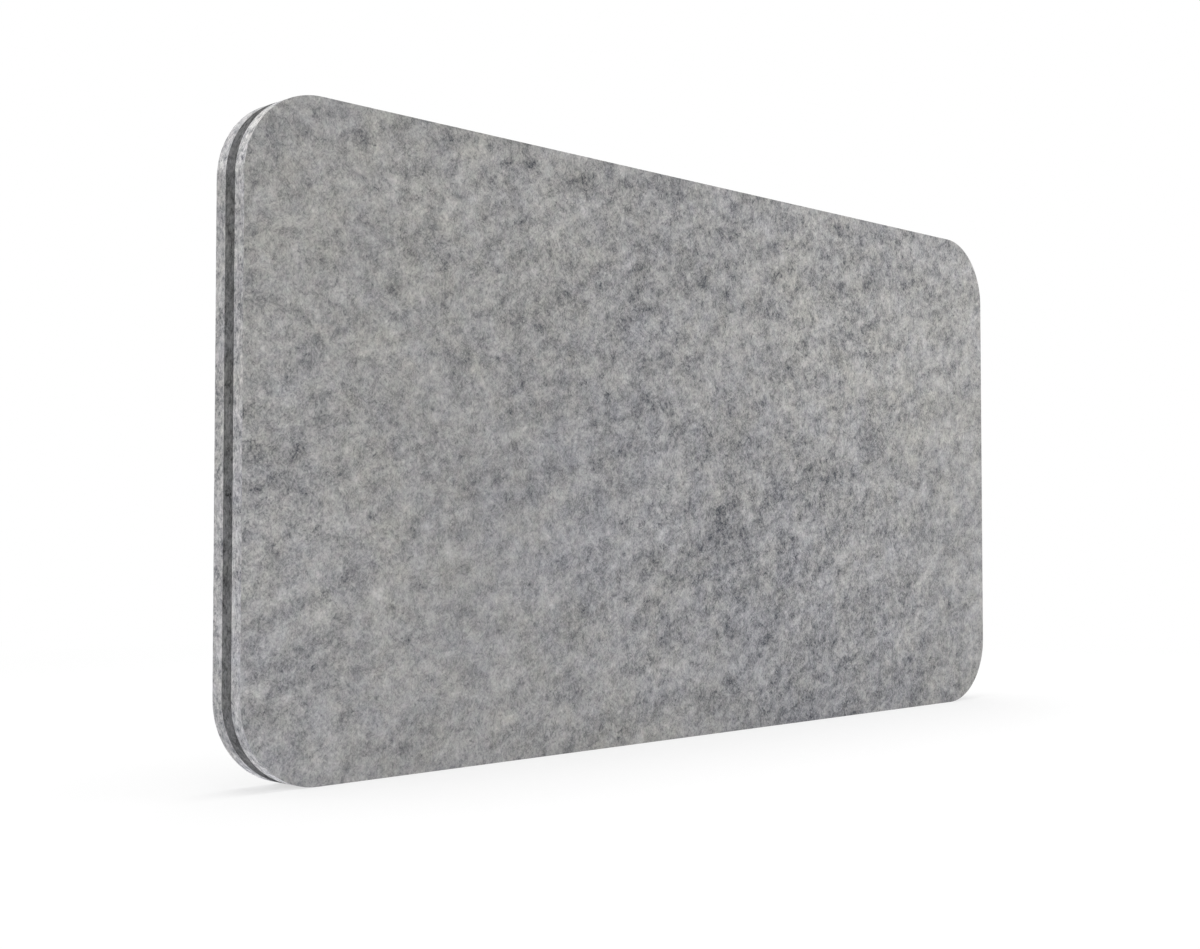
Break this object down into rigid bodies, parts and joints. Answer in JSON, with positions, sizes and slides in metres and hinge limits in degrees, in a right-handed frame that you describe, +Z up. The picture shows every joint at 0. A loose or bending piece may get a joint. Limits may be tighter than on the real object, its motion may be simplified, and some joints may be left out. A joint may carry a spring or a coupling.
{
  "type": "acoustic divider screen",
  "caption": "Desk-height acoustic divider screen: a felt sandwich panel with rounded corners, a darker core ply and threaded anchor blocks let into its lower edge.",
  "frame": {"origin": "middle of the lower edge, in the middle of the screen's thickness", "axes": "+X along the width, +Y through the thickness from the front face to the rear face, +Z up"},
  "size_m": [0.8, 0.03, 0.42],
  "materials": {
    "light_felt": "marled light grey needle felt, matte",
    "dark_felt": "dark grey needle felt, matte",
    "glue_web": "hot-melt adhesive web, satin",
    "birch_plywood": "sanded birch plywood, unfinished",
    "zinc_steel": "bright zinc plate"
  },
  "bodies": {
    "root": {"front_felt_ply": "light_felt", "front_glue_web": "glue_web", "core_felt_ply": "dark_felt", "rear_glue_web": "glue_web", "rear_felt_ply": "light_felt", "left_anchor_block": "birch_plywood", "right_anchor_block": "birch_plywood", "left_insert_nuts": "zinc_steel", "right_insert_nuts": "zinc_steel"}
  },
  "joints": []
}
